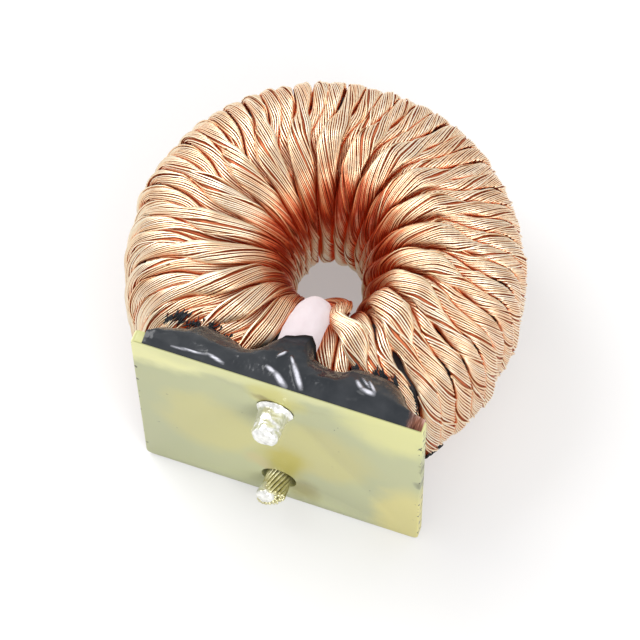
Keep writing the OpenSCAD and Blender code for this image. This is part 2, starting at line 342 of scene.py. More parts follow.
def wire_runs(k, s, rng):
    """Points and faces of closed runs of wire on bundle k at lengths s."""
    row, angle, square, sag = bundle_course(k, s, rng)
    lay = np.radians(27 - 17 * leftness(angle)) + wander(rng, s, (20, 70), 0.08)
    depth, width = sizes(row)
    twist = np.cumsum(np.gradient(s) * np.tan(lay) / (1.85 * (depth + width - 2 * WIRE)))
    wires = WIRES[k]
    shares = np.array([j / wires + twist + rng.normal(0, 0.002)
                       + wander(rng, s, (12, 45), 0.003 if j % STRAY else 0.05)
                       for j in range(wires)]).T
    phase_of, way_round = phases(row, square, shares)
    size = np.clip(way_round / wires * 0.99, 0.24, 0.45)[:, None]
    # both ends of a bundle show nearly all round, and the third one down its sides
    ends = (s < s[0] + 30) | (s > s[-1] - 60)
    all_points, all_faces, base = [], [], 0
    for j in range(wires):
        dip = WIRE / 2 + np.maximum(0, wander(rng, s, (8, 30), 0.03))
        if j % STRAY == 0:
            dip = np.full_like(s, 0.02)
        point, normal, v = points_on(row, angle, square, sag, phase_of[:, j], dip)
        shown = v > np.where(ends, -0.9, -0.55 if k == 2 else -0.1)
        tangent = unit(np.gradient(point, axis=0))
        across = unit(np.cross(tangent, normal))
        normal = np.cross(across, tangent)
        rings = np.stack([point + across * (a * size) + normal * (b * size)
                          for a, b in PROFILE], axis=1)
        rings = keep_in(rings.reshape(-1, 3)).reshape(rings.shape)
        edges = np.flatnonzero(np.diff(np.concatenate([[0], shown.astype(int), [0]])))
        for start, stop in zip(edges[::2], edges[1::2]):
            if stop - start > 2:
                all_points.append(rings[start:stop].reshape(-1, 3))
                all_faces += tube_faces(stop - start, len(PROFILE), base)
                base += (stop - start) * len(PROFILE)
    return np.vstack(all_points), all_faces


def heart(k, s, rng, corners=12):
    """The middle of a bundle, just under its wires, whose dark finish is painted shade."""
    course, ones = bundle_course(k, s, rng), np.ones_like(s)
    rings = [keep_in(points_on(*course, ones * 2 * np.pi * (j + .5) / corners, WIRE * 0.85)[0])
             for j in range(corners)]
    return np.stack(rings, axis=1).reshape(-1, 3), tube_faces(len(s), corners)


winding = []
for k in range(3):
    length, places, _, _ = tables[k]
    begin, end = places[9] - length, (TURNS - 1) * length + places[14]
    s = np.linspace(begin, end, int((end - begin) / 0.8))
    points, faces = wire_runs(k, s, np.random.default_rng(11 + k))
    strands = mesh_piece(f"bundle_{k + 1}_wires", points, faces, crest=CREST)
    inner = mesh_piece(f"bundle_{k + 1}_heart",
                       *heart(k, s[::2], np.random.default_rng(11 + k)))
    winding.append((strands, inner))
    print(strands.name, sum(len(f) - 2 for f in faces), "triangles")


# %% [markdown]
# ## Helpers for finishes
# A finish is a small tree of shader nodes on the Principled shader. The helpers add a node
# and join it up, so that a finish reads as a list of what it is made from.

# %% Shader helpers
def rgba(colour):
    """Four numbers from three or from a level of grey. Sockets stay as they are."""
    if isinstance(colour, bpy.types.NodeSocket):
        return colour
    return (*colour, 1) if isinstance(colour, tuple) else (colour, colour, colour, 1)


def finish_tree(name, values):
    """A new material, its node tree and its Principled shader, set to these values."""
    material = bpy.data.materials.new(name)
    material.use_nodes = True
    shader = material.node_tree.nodes["Principled BSDF"]
    for key, value in values.items():
        shader.inputs[key].default_value = value
    return material, material.node_tree, shader


def add(tree, kind, inputs=None, **settings):
    """Adds a shader node. Inputs are values, or sockets to join."""
    node = tree.nodes.new("ShaderNode" + kind)
    for key, value in settings.items():
        setattr(node, key, value)
    for key, value in (inputs or {}).items():
        if isinstance(value, bpy.types.NodeSocket):
            tree.links.new(value, node.inputs[key])
        else:
            node.inputs[key].default_value = value
    return node


def math_node(tree, operation, a, b=0):
    return add(tree, "Math", {0: a, 1: b}, operation=operation).outputs[0]


def plus(tree, a, b):
    return math_node(tree, "ADD", a, b)


def times(tree, a, b):
    return math_node(tree, "MULTIPLY", a, b)


def vector_node(tree, operation, a, b=(0, 0, 0)):
    node = add(tree, "VectorMath", {0: a, 1: b}, operation=operation)
    return node.outputs["Value" if operation == "LENGTH" else "Vector"]


def ramp(tree, factor, *stops):
    """A colour ramp with (place, colour) stops."""
    node = add(tree, "ValToRGB", {"Fac": factor})
    elements = node.color_ramp.elements
    while len(elements) < len(stops):
        elements.new(0.5)
    for element, (place, colour) in zip(elements, stops):
        element.position = place
        element.color = rgba(colour)
    return node.outputs["Color"]


def mixed(tree, factor, a, b, blend="MIX"):
    return add(tree, "Mix", {0: factor, 6: rgba(a), 7: rgba(b)},
               data_type="RGBA", blend_type=blend).outputs[2]


def remap(tree, value, low, high, to_low=0, to_high=1, **settings):
    """A value moved from one range to another, and held at its ends."""
    return add(tree, "MapRange", {
        "Value": value, "From Min": low, "From Max": high, "To Min": to_low,
        "To Max": to_high}, **settings).outputs["Result"]


# %% Helpers for patterns and finishes
def noise(tree, scale, detail=4, rough=0.5, stretch=(1, 1, 1)):
    """Noise in the object's own coordinates. Scale is in cells per metre."""
    place = vector_node(tree, "MULTIPLY", add(tree, "TexCoord").outputs["Object"], stretch)
    return add(tree, "TexNoise", {"Vector": place, "Scale": scale, "Detail": detail,
                                  "Roughness": rough}).outputs["Fac"]


def from_ring(tree):
    """The point shaded, in mm from the ring's middle: a vector, x, y and z."""
    place = add(tree, "TexCoord").outputs["Object"]
    place = vector_node(tree, "SUBTRACT", place, tuple(RING))
    place = vector_node(tree, "MULTIPLY", place, (1 / MM,) * 3)
    return place, *add(tree, "SeparateXYZ", {0: place}).outputs


def bump(tree, shader, height, strength, distance):
    """A bump on the shader, distance in mm."""
    node = add(tree, "Bump",
               {"Height": height, "Strength": strength, "Distance": distance * MM})
    tree.links.new(node.outputs["Normal"], shader.inputs["Normal"])


def plain_finish(name, values, cells, *stops, grain=None):
    """A finish whose colour runs through the stops with noise, and its grain."""
    material, tree, shader = finish_tree(name, values)
    tree.links.new(ramp(tree, noise(tree, *cells), *stops), shader.inputs["Base Color"])
    if grain:
        *cells, strength, distance = grain
        bump(tree, shader, noise(tree, *cells), strength, distance)
    return material


def dress(material, slot, *pieces):
    """Gives pieces a finish and lets them ride on the frame. Its slot is not used."""
    for piece in pieces:
        piece.data.materials.clear()
        piece.data.materials.append(material)
        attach(piece, "root")


# %% [markdown]
# ## Copper
# Enamelled copper wire is metal under a thin clear coat. White light turns peach on it, and
# light that bounces from wire to wire turns orange and then maroon. A metal of one colour
# shows too little of that under soft light, so shade is painted into its colour by the place on
# the ring, the depth between bundles and the wire, and the deepest hollows get a painted glow.

# %% Bright copper
SECTION_R, SECTION_Z, SECTION_HIGH = 16.06, 2.53, 10.64   # the circle the upper half follows


def shade_places(tree):
    """How far round that circle a place lies, in degrees, moved by the side of the ring."""
    place, x, y, z = from_ring(tree)
    radius = vector_node(tree, "LENGTH", vector_node(tree, "MULTIPLY", place, (1, 1, 0)))
    phi = math_node(tree, "ARCTAN2", plus(tree, z, -SECTION_Z), plus(tree, radius, -SECTION_R))
    # the shade begins earlier at the right and the back, and its edge is ragged
    side = plus(tree, times(tree, x, 9 / 16), times(tree, y, 8 / 16))
    ragged = times(tree, plus(tree, noise(tree, 350, 4, 0.6), -0.5), 34)
    return plus(tree, plus(tree, times(tree, phi, 180 / math.pi), side), ragged)


copper, tree, shader = finish_tree("enamelled copper", {
    "Metallic": 0.9, "Roughness": 0.42, "Coat Weight": 0.15, "Coat Roughness": 0.2,
    "Emission Strength": 1})
island = add(tree, "NewGeometry").outputs["Random Per Island"]
tint = ramp(tree, island, (0, (0.95, 0.75, 0.51)), (0.5, (0.98, 0.86, 0.65)),
            (1, (1, 0.93, 0.77)))
# each wire enters the shade at its own place
shade_place = plus(tree, shade_places(tree), times(tree, plus(tree, island, -0.5), 32))
# painted shade: white over the top, maroon on the way down into the bore, and lighter again at
# the bore's wall
shade = ramp(tree, times(tree, shade_place, 1 / 200),
             (0.54, 1), (0.6, (0.92, 0.87, 0.82)), (0.64, (0.86, 0.7, 0.6)),
             (0.68, (0.86, 0.47, 0.32)), (0.715, (0.8, 0.27, 0.15)), (0.76, (0.54, 0.1, 0.05)),
             (0.8, (0.56, 0.13, 0.08)), (0.845, (0.85, 0.42, 0.34)), (0.9, (1, 0.85, 0.8)))
stain = ramp(tree, noise(tree, 220, 3), (0.42, 1), (0.62, (0.98, 0.9, 0.84)))
crest = add(tree, "Attribute", attribute_name="crest").outputs["Fac"]
# painted shade: the colour darkens in the groove beside each wire
painted_groove_shade = ramp(tree, crest, (0.14, (0.4, 0.21, 0.11)), (0.36, (0.76, 0.57, 0.41)), (0.58, 1))
# painted shade: between bundles, where light has bounced from copper to copper, the colour goes
# dark orange
hollow = add(tree, "AmbientOcclusion", {"Distance": 1.3 * MM}, samples=6).outputs["AO"]
painted_bounce_shade = ramp(tree, hollow, (0.12, (1, 0.36, 0.16)), (0.36, (1, 0.75, 0.56)), (0.62, 1))
wire_colour = tint
for layer in (stain, painted_groove_shade, painted_bounce_shade, shade):
    wire_colour = mixed(tree, 1, wire_colour, layer, "MULTIPLY")
tree.links.new(wire_colour, shader.inputs["Base Color"])
# a painted glow: light that has been from wire to wire many times fills the deepest places with
# orange
tree.links.new(ramp(tree, hollow, (0.08, (0.065, 0.006, 0.001)), (0.42, 0)),
               shader.inputs["Emission Color"])
print("bright copper from", len(tree.nodes), "nodes")

# %% Copper in shade
# the hearts' darker copper is painted shade seen between the wires, with a faint painted glow
painted_shade_copper = plain_finish(
    "copper in shade", {"Metallic": 0.6, "Roughness": 0.5, "Emission Strength": 1,
                        "Emission Color": (0.04, 0.004, 0.001, 1)},
    (400, 3), (0.3, (0.4, 0.08, 0.025)), (0.7, (0.62, 0.2, 0.08)))

for k, (strands, inner) in enumerate(winding):
    dress(copper, "copper", strands)
    dress(painted_shade_copper, "copper", inner)
    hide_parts(f"bundle_{k + 1}")
print("copper on", 2 * len(winding), "pieces")


# %% [markdown]
# ## The board
# A strip of glass-epoxy laminate with two drilled holes. It starts as a box, its four corners
# are rounded, a Boolean cuts clean round holes with bars, and a bevel breaks its arrises, so
# that they catch the light.

# %% Helpers for editing
def select_only(piece):
    """Selects this piece alone and makes it active."""
    bpy.ops.object.select_all(action="DESELECT")
    piece.select_set(True)
    bpy.context.view_layer.objects.active = piece


def added(name):
    """The object just added, with its name, and its place and turn put into its mesh."""
    piece = bpy.context.object
    piece.name = name
    bpy.ops.object.transform_apply(location=True, rotation=True, scale=True)
    return piece


@contextlib.contextmanager
def editing(piece):
    """Edit mode on a piece, with all of it selected."""
    select_only(piece)
    bpy.ops.object.mode_set(mode="EDIT")
    bpy.ops.mesh.select_all(action="SELECT")
    yield
    bpy.ops.object.mode_set(mode="OBJECT")


def apply_modifier(piece, kind, **settings):
    """Adds a modifier with these settings and applies it."""
    select_only(piece)
    modifier = piece.modifiers.new(kind.title(), kind)
    for key, value in settings.items():
        setattr(modifier, key, value)
    bpy.ops.object.modifier_apply(modifier=modifier.name)


# %% Board
FACE_OUT, HOLE_R, CORNER_R, ARRIS = 25.4, 2.4, 0.8, 0.1
LEAD_X, UPPER_Z, LOWER_Z = 2.4, 13.11, -8.29
board_low, board_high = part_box("board")
bpy.ops.mesh.primitive_cube_add(size=1, location=(board_low + board_high) / 2,
                                scale=board_high - board_low)
board = added("header_board")
bpy.ops.object.mode_set(mode="EDIT")
edit = bmesh.from_edit_mesh(board.data)
for edge in edit.edges:
    ends = [v.co for v in edge.verts]
    edge.select_set(abs(ends[0].y - ends[1].y) > 0.5 * MM)
bmesh.update_edit_mesh(board.data)
bpy.ops.mesh.bevel(offset=CORNER_R * MM, segments=5, affect="EDGES")
bpy.ops.object.mode_set(mode="OBJECT")
for z in (UPPER_Z, LOWER_Z):
    bpy.ops.mesh.primitive_cylinder_add(
        vertices=64, radius=HOLE_R * MM, depth=4 * MM,
        location=at(LEAD_X, -FACE_OUT + 0.8, z), rotation=(math.pi / 2, 0, 0))
    cutter = added("cutter")
    apply_modifier(board, "BOOLEAN", operation="DIFFERENCE", object=cutter, solver="EXACT")
    bpy.data.objects.remove(cutter)
apply_modifier(board, "BEVEL", width=ARRIS * MM, segments=2, limit_method="ANGLE",
               angle_limit=math.radians(50))
bpy.ops.object.shade_smooth_by_angle(angle=math.radians(30))
print("board", len(board.data.polygons), "faces")


# %% [markdown]
# ## The glue
# Black potting glue lies on the board's top edge and bulges down on to the winding. A fluid
# simulation would make such a shape, but not this one, so it is drawn as columns from the
# board's front arris back to the wires. Each column rounds over the arris, runs level and
# then falls ever more steeply, as a thick liquid does before it sets. Smooth noise makes its
# lumps, and ridges make the folds on both sides of the sleeve.

# %% Where the glue lies
ARRIS_Z, RIDGE_Y, RIDGE_Z = 20.71, -23.5, 20.98
CAP = 0.2                        # share of a column that lies on the board's edge
SLEEVE_X, HUMP_R = 1.85, 2.85    # the glue humps up over the sleeve
# Where the glue turns down, from left to right: x on the arris, then x, y and z, and
# whether it ends there, as on the sleeve
turn_down = np.array([
    (-15, -15, -23.45, 20.9, 0), (-14.8, -14.3, -23, 20.4, 0),
    (-14.2, -13.5, -21.8, 19.3, 0), (-13, -12.1, -21.3, 18.8, 0),
    (-11.2, -10.2, -20.1, 17.7, 0), (-10.2, -9.3, -18.5, 15.9, 0),
    (-9, -8, -19.2, 16.7, 0), (-6.9, -5.9, -19.7, 17.2, 0), (-5.6, -4.7, -20.5, 18, 0),
    (-3.9, -3.2, -21.1, 18.7, 0), (-2.5, -2, -20.4, 17.9, 0), (-1.5, -1.1, -18.9, 16.4, 0.4),
    (-0.6, -0.4, -17.2, 15.3, 1), (0.5, 0.5, -16.1, 15.3, 1), (1.7, 1.7, -15.9, 15.6, 1),
    (3, 2.9, -15.3, 15.6, 1), (4, 3.7, -15, 15.3, 1), (5, 4.4, -15.7, 14.6, 1),
    (5.8, 5, -17.4, 14.2, 0.7), (6.8, 6.4, -19.1, 16.6, 0), (8.2, 7.8, -19.5, 17, 0),
    (9.6, 9.4, -19.1, 16.6, 0), (10.6, 10.4, -17.2, 14.5, 0), (13.4, 13.4, -17.3, 14.7, 0),
    (15, 15, -17.9, 15.4, 0), (16.6, 16.6, -19.5, 16.9, 0), (17.8, 17.8, -21.6, 19.2, 0),
    (18.8, 18.8, -22.4, 19.6, 0), (19.6, 19.5, -22.6, 19.4, 0), (20.4, 20.2, -22.9, 19.3, 0),
    (21.2, 20.9, -23.2, 20, 0), (21.5, 21.2, -23.3, 20.7, 0)])
# both ends (x, y) of each fold, its height and its width
folds = [((3.1, -21), (3.8, -22), 0.35, 0.22), ((3.8, -22), (5.7, -24.8), 0.45, 0.38),
         ((1.6, -21.5), (2.2, -20.4), 0.3, 0.22), ((0.8, -23.4), (2, -23.9), 0.35, 0.3),
         ((2, -23.9), (3.8, -25.2), 0.45, 0.42), ((-11.3, -24.7), (-6.6, -24.3), 0.15, 0.14),
         ((-6.6, -24.2), (-4.4, -24.8), 0.25, 0.22), ((11.8, -21.2), (12.8, -22.4), 0.35, 0.3),
         ((12.8, -22.4), (14.4, -22.7), 0.4, 0.38), ((13.2, -20.6), (14.5, -22.3), 0.3, 0.22),
         ((12.2, -20.4), (13.6, -21.8), 0.3, 0.16)]
print("glue from x", turn_down[0, 0], "to", turn_down[-1, 0], "with", len(folds), "folds")


# %% Glue surface
def crown(x, y):
    """Height of the winding's upper half above a place."""
    away = math.hypot(x, y) - SECTION_R
    return SECTION_Z + math.sqrt(max(0, SECTION_HIGH**2 - away**2))


def fold_height(x, y):
    """Height that the folds add at a place, and how near it is to a fold's line, from 0 to 1, for
    the painted highlight.
    """
    total = near = 0
    for (x0, y0), (x1, y1), height, width in folds:
        dx, dy = x1 - x0, y1 - y0
        t = min(1, max(0, ((x - x0) * dx + (y - y0) * dy) / (dx * dx + dy * dy)))
        bell = math.exp(-(math.hypot(x - x0 - t * dx, y - y0 - t * dy) / width)**2)
        near = max(near, bell * (0.55 + 0.45 * math.sin(math.pi * t)))
        total = max(total, height * bell)
    return total, near


def glue_column(share, levels):
    """Points from the board's front arris to the glue's end on the winding."""
    ranks = np.linspace(0, 1, len(turn_down))
    front, tx, ty, tz, stops = (np.interp(share, ranks, column) for column in turn_down.T)

    def fall(q):
        return (front + (tx - front) * q, RIDGE_Y + (ty - RIDGE_Y) * q,
                RIDGE_Z - (RIDGE_Z - tz) * q * q)

    # a column ends just under the wires' crown, or where it stops on the sleeve
    far = 1
    while far < 6 and fall(far)[2] > crown(*fall(far)[:2]) - 0.5:
        far += 0.02
    far = stops + (1 - stops) * far
    points = []
    for u in levels:
        q = min(1, u / CAP)
        if u < CAP:
            x, y = front, -FACE_OUT + (RIDGE_Y + FACE_OUT) * q
            z = ARRIS_Z + (RIDGE_Z - ARRIS_Z) * math.sin(min(1, q * 1.7) * math.pi / 2)
        else:
            x, y, z = fall((u - CAP) / (1 - CAP) * far)
        z -= 0.16 * math.exp(-((x - 3.5) / 3.5)**2) * min(1, q * 2)
        if abs(x - SLEEVE_X) < HUMP_R and y > -23.3:
            hump = UPPER_Z + 2.7 * math.sqrt(1 - ((x - SLEEVE_X) / HUMP_R)**2)
            z = math.log(math.exp(2 * (z - 14)) + math.exp(2 * (hump - 14))) / 2 + 14
        grow = min(1, u / 0.08) * (1 - 0.8 * stops * max(0, (u - 0.7) / 0.3))
        z += grow * (0.3 * smooth_noise.noise(Vector((x * 0.3, y * 0.4, 3)))
                     + 0.12 * smooth_noise.noise(Vector((x * 0.9, y, 8))) * (u > CAP)
                     + 0.03 * smooth_noise.noise(Vector((x * 3, y * 3, 2)))
                     + fold_height(x, y)[0])
        # the tongue rounds over at its end, and both ends of the glue thin out
        z -= 0.45 * stops * max(0, (u - 0.86) / 0.14)**2
        z -= 0.3 * max(0, 1 - (x + 15) / 1.2, (x - 18.4) / 1.5) * min(1, u / 0.08)
        floor = ARRIS_Z + 0.02 if y < -FACE_IN + 0.1 else -9
        points.append((x, y, min(max(z, floor), 21.09)))
    return points


print("the winding's crown is", round(crown(0, SECTION_R), 2), "above the ring's middle")


# %% Glue drape
columns = 420
levels = np.concatenate([np.linspace(0, CAP, 9), np.linspace(CAP + 0.02, 0.985, 40),
                         [0.991, 0.996, 1]])
top = [glue_column(i / (columns - 1), levels) for i in range(columns)]
under = [[(x, y, ARRIS_Z - 0.005 if y < -FACE_IN - 0.05 else min(z - 0.3, 8.2))
          for x, y, z in column[::-1]] for column in top]
drape = np.array([a + b for a, b in zip(top, under)]).reshape(-1, 3)
# a ring round each column's top and underside, and squares that close both ends
across, around = len(levels), 2 * len(levels)
faces = tube_faces(columns, around)[:-2]
for end in (0, (columns - 1) * around):
    faces += [(end + j, end + j + 1, end + around - 2 - j, end + around - 1 - j)
              for j in range(across - 1)]
glue = mesh_piece("glue_drape", drape, faces, crest=[*levels, *levels * 0],
                  fold=[fold_height(x, y)[1] for x, y, z in drape])
with editing(glue):
    bpy.ops.mesh.remove_doubles(threshold=0.0005 * MM)
    bpy.ops.mesh.normals_make_consistent(inside=False)
print("glue", len(glue.data.polygons), "faces")

# %% [markdown]
# ## Splinters of glue
# Where the glue ends, it has spattered over the wires in small ragged spikes. A seeded random
# draw scatters them, which is simpler than a particle system.

# %% Splinters of glue on the wires
# place on the winding, how far they scatter, how many there are, and their length
patches = [((-15.3, -17.2), 0.8, 30, 1.6), ((-13.6, -16.3), 0.8, 24, 1.7),
           ((-11.8, -17.2), 1.3, 26, 1.1), ((-9.2, -17), 1, 20, 1.2),
           ((-7, -17.6), 1, 14, 0.8), ((10, -16.6), 0.6, 10, 1.2),
           ((12.8, -16.3), 1.2, 28, 1.6), ((15.2, -16.4), 1, 24, 1.4),
           ((17.2, -16.6), 0.9, 34, 1.6), ((18.1, -18), 0.8, 26, 1.3)]
# where each ring of a splinter lies along it, its width and its height
SPLINTER_RINGS = ((-0.5, 0.3, 0.3), (-0.15, 1, 0.8), (0.2, 0.7, 1), (0.5, 0.08, 0.6))
SPLINTER_SIDES = ((-1, -0.3), (-0.5, 0.6), (0.4, 1), (1, -0.3))
rng = np.random.default_rng(21)
splinters, splinter_faces = [], []


def splinter(middle, along, out, long, wide, high):
    """A ragged spike of glue that lies on the winding, along it and pointed at one end."""
    across = np.cross(out, along)
    splinter_faces.extend(tube_faces(4, 4, len(splinters)))
    for t, w, h in SPLINTER_RINGS:
        for side, up in SPLINTER_SIDES:
            splinters.append(middle + long * t * along + side * w * wide * across
                             + up * h * high * out)


for (px, py), spread, count, length in patches:
    for _ in range(count):
        x, y = px + rng.normal(0, spread * 0.5), py + rng.normal(0, spread * 0.4)
        turned = math.atan2(y, x) + rng.normal(0.15, 0.3)
        long, wide, high = (length * rng.uniform(0.4, 1.1), rng.uniform(0.06, 0.2),
                            rng.uniform(0.1, 0.3))
        step = np.array([math.cos(turned), math.sin(turned)]) * 0.2
        slope = (crown(x + step[0], y + step[1]) - crown(x, y)) / 0.2
        splinter(np.array([x, y, crown(x, y) + 0.05]), np.array([*step * 5, slope]),
                 np.array([0, 0, 1]), long, wide, high)
# a smear low on the outside, behind the board's right end
for _ in range(44):
    around = rng.uniform(49, 58)
    z = -6.2 - 0.45 * (around - 50) + rng.normal(0, 0.45)
    c, s = polar(around)
    out, along = np.array([s, -c, 0]), np.array([c * 0.4, s * 0.4, 0.9])
    splinter(out * (26.5 + 0.42 * min(0, z + 5.5)) + [0, 0, z], along, out,
             rng.uniform(0.6, 1.4), rng.uniform(0.1, 0.25), 0.2)
spatter = mesh_piece("glue_splinters", np.array(splinters), splinter_faces, crest=[0.5])
print("splinters", len(spatter.data.polygons), "faces")

# %% [markdown]
# ## Glue between the board and the winding
# Under the drape the glue fills the gap. The frame's own glue has that shape already, so a
# copy of it is cut off where the drape covers it.

# %% Filler
filler = new_object("glue_fill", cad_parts["glue"].data.copy())
with editing(filler):
    bpy.ops.mesh.remove_doubles(threshold=0.001 * MM)
    bpy.ops.mesh.bisect(plane_co=at(0, 0, 9), plane_no=(0, 0, 1), clear_outer=True,
                        use_fill=True)
print("filler", len(filler.data.polygons), "faces")


# %% [markdown]
# ## The sleeve
# A soft silicone tube covers the lead where it comes up out of the bore and bends over to the
# board. A circle at its foot is extruded up, spun through the bend and extruded on to the
# board, as a tube is bent round a former. Then it's tapered and gets its wall and shallow
# creases and dents, so that it looks soft and not turned.

# %% Sleeve's tube
BEND_Y, BEND_R, SLEEVE_R, SLEEVE_ARM_X, SLEEVE_LEG_X = -9.15, 5.2, 2.3, 1.8, 2.2
sleeve_foot = (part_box("sleeve")[0].z - RING.z) / MM
pivot = (BEND_Y - BEND_R, UPPER_Z - BEND_R)


def run_on(offset, times):
    """Extrudes what is selected in equal steps of an offset in mm."""
    for _ in range(times):
        bpy.ops.mesh.extrude_region_move(
            TRANSFORM_OT_translate={"value": tuple(c * MM / times for c in offset)})


bpy.ops.mesh.primitive_circle_add(vertices=40, radius=SLEEVE_R * MM,
                                  location=at(SLEEVE_LEG_X, BEND_Y, sleeve_foot))
sleeve = added("silicone_sleeve")
with editing(sleeve):
    run_on((0, 0, pivot[1] - sleeve_foot), 8)
    bpy.ops.mesh.spin(steps=16, angle=-math.pi / 2, center=at(SLEEVE_LEG_X, *pivot),
                      axis=(1, 0, 0))
    run_on((0, -FACE_IN - pivot[0], 0), 9)
    bpy.ops.mesh.select_all(action="SELECT")
    bpy.ops.mesh.remove_doubles(threshold=0.001 * MM)
print("tube", len(sleeve.data.polygons), "faces")


# %% Sleeve's shape
def crease(depth, gap, width):
    return depth * math.exp(-(gap / width)**2)


def soften(piece, levels, size, strength):
    """Smooths a piece and dents it with cloudy noise, its size and strength in mm."""
    apply_modifier(piece, "SUBSURF", levels=levels, render_levels=levels)
    texture = bpy.data.textures.new(piece.name + "_dents", "CLOUDS")
    texture.noise_scale = size * MM
    apply_modifier(piece, "DISPLACE", texture=texture, strength=strength * MM,
                   texture_coords="GLOBAL")


# the leg is slim, and the arm spreads and flattens towards the board
for vertex in sleeve.data.vertices:
    x, y, z = (vertex.co - RING) / MM
    dy, dz = y - pivot[0], z - pivot[1]
    turn = min(1, max(0, math.atan2(dy, max(dz, 1e-6)) / (math.pi / 2))) if dy > 0 else 0
    wide, high = 2.6 - 0.45 * turn, 2.34 - 0.19 * turn
    middle_x = SLEEVE_ARM_X + (SLEEVE_LEG_X - SLEEVE_ARM_X) * min(1, max(0, (y + 20) / 11))
    x = middle_x + (x - SLEEVE_LEG_X) * wide / SLEEVE_R
    if dz > 0 and dy > 0:
        far = math.hypot(dy, dz)
        scale = (BEND_R + (far - BEND_R) * high / SLEEVE_R) / far
        y, z = pivot[0] + dy * scale, pivot[1] + dz * scale
    elif dy <= 0:
        z = UPPER_Z + (z - UPPER_Z) * high / SLEEVE_R
    else:
        y = BEND_Y + (y - BEND_Y) * high / SLEEVE_R
    if z > UPPER_Z:
        z -= (crease(0.22, y + 12.2 + 0.35 * (x - 2), 0.35)
              + crease(0.18, x - 2.6 - 0.12 * (y + 14), 0.4))
    vertex.co = at(x, y, z)
with editing(sleeve):
    bpy.ops.mesh.normals_make_consistent(inside=False)
apply_modifier(sleeve, "SOLIDIFY", thickness=0.6 * MM, offset=-1)
soften(sleeve, 1, 2.6, 0.35)
bpy.ops.object.shade_smooth()
print("sleeve", len(sleeve.data.polygons), "faces")


# %% [markdown]
# ## The tinned leads
# The upper lead is dipped in solder until it is a lumpy bright stub with a thin collar on
# the board. The lower lead shows its strands, cut off at a slant, with solder only on one
# side. Both solder pieces are turned shapes made uneven, and the strands are twisted tubes.
# Copper strands also fill the sleeve's foot, where they can be seen from below.

# %% Upper lead
def stub(radii, uneven, seed, vertices=48):
    """Solder on a lead: rings along -Y with these (y, radius) pairs, closed at both ends."""
    rng = np.random.default_rng(seed)
    waves = [(rng.integers(2, 6), rng.uniform(0, 6.3), rng.uniform(1, 3)) for _ in range(5)]
    points = []
    for y, radius in radii:
        for a in np.arange(vertices) * 2 * math.pi / vertices:
            lump = sum(math.sin(n * a + p + w * y) for n, p, w in waves) / len(waves)
            r = radius * (1 + uneven * lump)
            points.append((r * math.cos(a), y, r * math.sin(a)))
    return np.array(points), tube_faces(len(radii), vertices)


stub_rings = [(-23.9, 1.6), (-25.3, 1.9), (-25.41, 2.4), (-25.5, 2.5), (-25.62, 2.38),
              (-25.8, 2)]
stub_rings += [(-25.85 - 0.25 * i, 1.93 - 0.012 * i) for i in range(1, 14)]
stub_rings += [(-29.35, 1.72), (-29.62, 1.5), (-29.78, 1.1), (-29.84, 0.5)]
points, faces = stub(stub_rings, 0.03, 4)
upper = mesh_piece("solder_stub", points + [LEAD_X, 0, UPPER_Z], faces)
soften(upper, 1, 0.8, 0.32)
print("stub", len(upper.data.polygons), "faces")

# %% Strands
STRAND_R, STRAND_RINGS, STRAND_SIDES = 0.29, 18, 8
layers = ((1, 0), (6, 0.62), (12, 1.24), (18, 1.72))        # number of strands and radius


def strand_bundle(layers, start, end_at, twist, seed):
    """Twisted strands along Y, which end at end_at(angle, radius)."""
    points, faces = [], []
    rng = np.random.default_rng(seed)
    for layer, (count, radius) in enumerate(layers):
        for i in range(count):
            a0 = 2 * math.pi * i / count + 0.3 * layer
            faces += tube_faces(STRAND_RINGS, STRAND_SIDES, len(points))
            for y in np.linspace(start, end_at(a0, radius) - rng.uniform(0, 0.15),
                                 STRAND_RINGS):
                a = a0 + (y - start) * twist
                points += [(radius * math.cos(a) + STRAND_R * math.cos(t), y,
                            radius * math.sin(a) + STRAND_R * math.sin(t))
                           for t in np.linspace(0, 2 * math.pi, STRAND_SIDES, endpoint=False)]
    return np.array(points), faces


points, faces = strand_bundle(
    layers, -23.9, lambda a, r: -28.4 - 0.55 * math.cos(a - 2.2) * r / 1.7, -0.26, 9)
lower = mesh_piece("lead_strands", points * [0.88, 1, 0.88] + [LEAD_X, 0, LOWER_Z], faces)
points, faces = strand_bundle(layers[:3], 0, lambda a, r: -9, 0.2, 10)
foot = mesh_piece("lead_in_sleeve", points[:, [0, 2, 1]] * [1, -1, -1]
                  + [SLEEVE_LEG_X, BEND_Y, sleeve_foot + 0.2], faces)
blob_rings = [(-26.6, 0.5), (-26.9, 1), (-27.6, 1.25), (-28.3, 1.3), (-28.9, 1.1), (-29.1, 0.6)]
points, faces = stub(blob_rings, 0.08, 8, 32)
blob = mesh_piece("solder_blob", points + [LEAD_X - 0.75, 0, LOWER_Z + 0.35], faces)
soften(blob, 2, 0.7, 0.4)
for piece in (lower, foot, blob):
    print(piece.name, len(piece.data.polygons), "faces")


# %% [markdown]
# ## The board's finish
# The laminate is pale green glass cloth with yellow resin over it in soft patches. The pale
# yellow band along its upper edge, widest at both corners, is painted light that comes through
# the board from behind. One noise would spread the patches evenly, so each is an ellipse whose
# edge is pushed about by noise. Dark specks lie near the ends and fine saw marks run down the
# face.

# %% Laminate
def patch(tree, place, centre, half, soft):
    """1 inside an ellipse in the board's plane and 0 outside, with a soft edge."""
    offset = vector_node(tree, "SUBTRACT", place, (centre[0], 0, centre[1]))
    scaled = vector_node(tree, "MULTIPLY", offset, (1 / half[0], 0, 1 / half[1]))
    return remap(tree, vector_node(tree, "LENGTH", scaled), 1 + soft, 1 - soft,
                 interpolation_type="SMOOTHSTEP")


